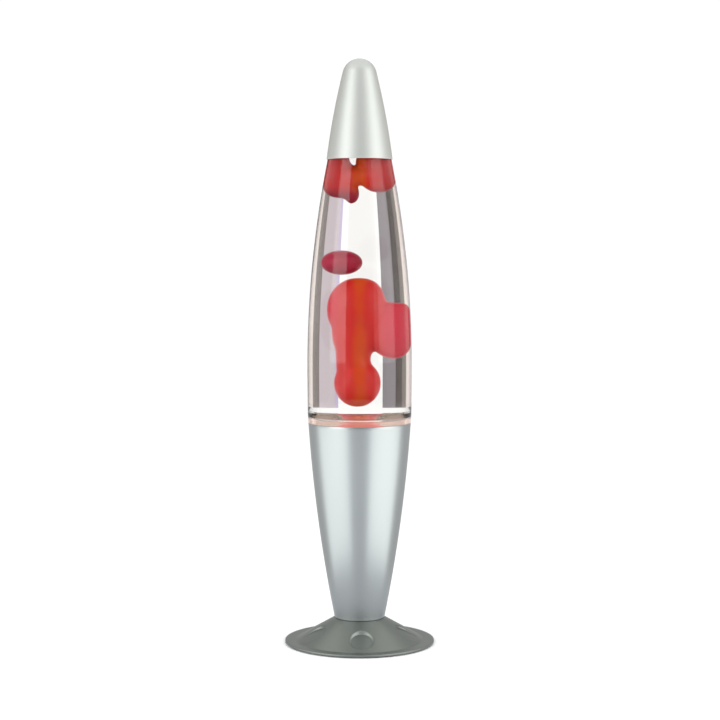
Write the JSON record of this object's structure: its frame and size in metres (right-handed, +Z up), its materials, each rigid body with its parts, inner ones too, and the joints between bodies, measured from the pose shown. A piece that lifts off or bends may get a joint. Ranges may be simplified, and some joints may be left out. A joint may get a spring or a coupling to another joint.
{
  "type": "lava lamp",
  "caption": "Tall tapered lava lamp: glass bottle of liquid and wax on a spun cone base with a dished round foot, a reflector bulb inside and a lift-off pointed cap.",
  "frame": {"origin": "centre of the floor under the lamp, level with the underside of its rubber pads", "axes": "+Z up along the lamp's axis, front towards -Y, cord bushing at the back towards +Y"},
  "size_m": [0.108, 0.108, 0.42],
  "materials": {
    "foot_metal": "satin",
    "body_metal": "satin",
    "cap_metal": "satin",
    "bottle_glass": "gloss",
    "clear_liquid": "gloss",
    "wax": "satin",
    "seat_plastic": "satin",
    "plated_steel": "satin",
    "cast_iron": "matte",
    "cover_steel": "matte",
    "black_rubber": "matte",
    "brass": "satin",
    "holder_plastic": "satin",
    "core_insulator": "matte",
    "bulb_glass": "gloss",
    "bulb_insulator": "gloss",
    "solder": "matte",
    "felt": "matte",
    "filament": "matte"
  },
  "bodies": {
    "base": {"foot": "foot_metal", "bottom_cover": "cover_steel", "rubber_pads": "black_rubber", "ballast": "cast_iron", "cone_body": "body_metal", "cord_bushing": "holder_plastic", "seat_ring": "seat_plastic", "tie_tube": "plated_steel", "tie_nuts": "plated_steel", "tie_washers": "plated_steel", "earth_tag": "brass", "holder_cap": "holder_plastic", "holder_shell": "holder_plastic", "holder_core": "core_insulator", "contact_sleeve": "brass", "centre_contact": "brass", "terminal_screws": "plated_steel"},
    "bulb_end": {"bulb_tip": "solder"},
    "bulb": {"bulb_glass": "bulb_glass", "bulb_shell": "plated_steel", "bulb_insulator": "bulb_insulator", "bulb_stem": "bulb_glass", "bulb_wires": "plated_steel", "bulb_filament": "filament"},
    "bottle": {"bottle": "bottle_glass", "closure_liner": "black_rubber", "closure": "plated_steel", "liquid": "clear_liquid", "wax_pool": "wax", "heat_coil": "plated_steel"},
    "wax_upper": {"wax_upper_left": "wax", "wax_upper_right": "wax"},
    "wax_oval": {"wax_oval": "wax"},
    "wax_column": {"wax_column": "wax", "wax_side": "wax"},
    "cap": {"cap": "cap_metal", "cap_ring": "felt"}
  },
  "joints": [
    {"name": "bottle_lift", "type": "slide", "parent": "base", "child": "bottle", "axis": [0, 0, 1], "range_m": [0, 0.04]},
    {"name": "cap_lift", "type": "slide", "parent": "bottle", "child": "cap", "axis": [0, 0, 1], "range_m": [0, 0.06]},
    {"name": "bulb_rise", "type": "slide", "parent": "base", "child": "bulb_end", "axis": [0, 0, 1], "range_m": [0, 0.0085]},
    {"name": "bulb_turn", "type": "hinge", "parent": "bulb_end", "child": "bulb", "pos_m": [0, 0, 0.1], "axis": [0, 0, 1], "range_deg": [0, 1080]},
    {"name": "wax_upper_sink", "type": "slide", "parent": "bottle", "child": "wax_upper", "axis": [0, 0, 1], "range_m": [-0.02, 0], "deforming": ["liquid"]},
    {"name": "wax_oval_rise", "type": "slide", "parent": "bottle", "child": "wax_oval", "axis": [0, 0, 1], "range_m": [-0.002, 0.008], "deforming": ["liquid"]},
    {"name": "wax_column_sink", "type": "slide", "parent": "bottle", "child": "wax_column", "axis": [0, 0, 1], "range_m": [-0.008, 0.002], "deforming": ["liquid"]}
  ],
  "couplings": [
    {"joint": "bulb_rise", "follows": "bulb_turn", "m_per_rad": 0.00044882}
  ]
}
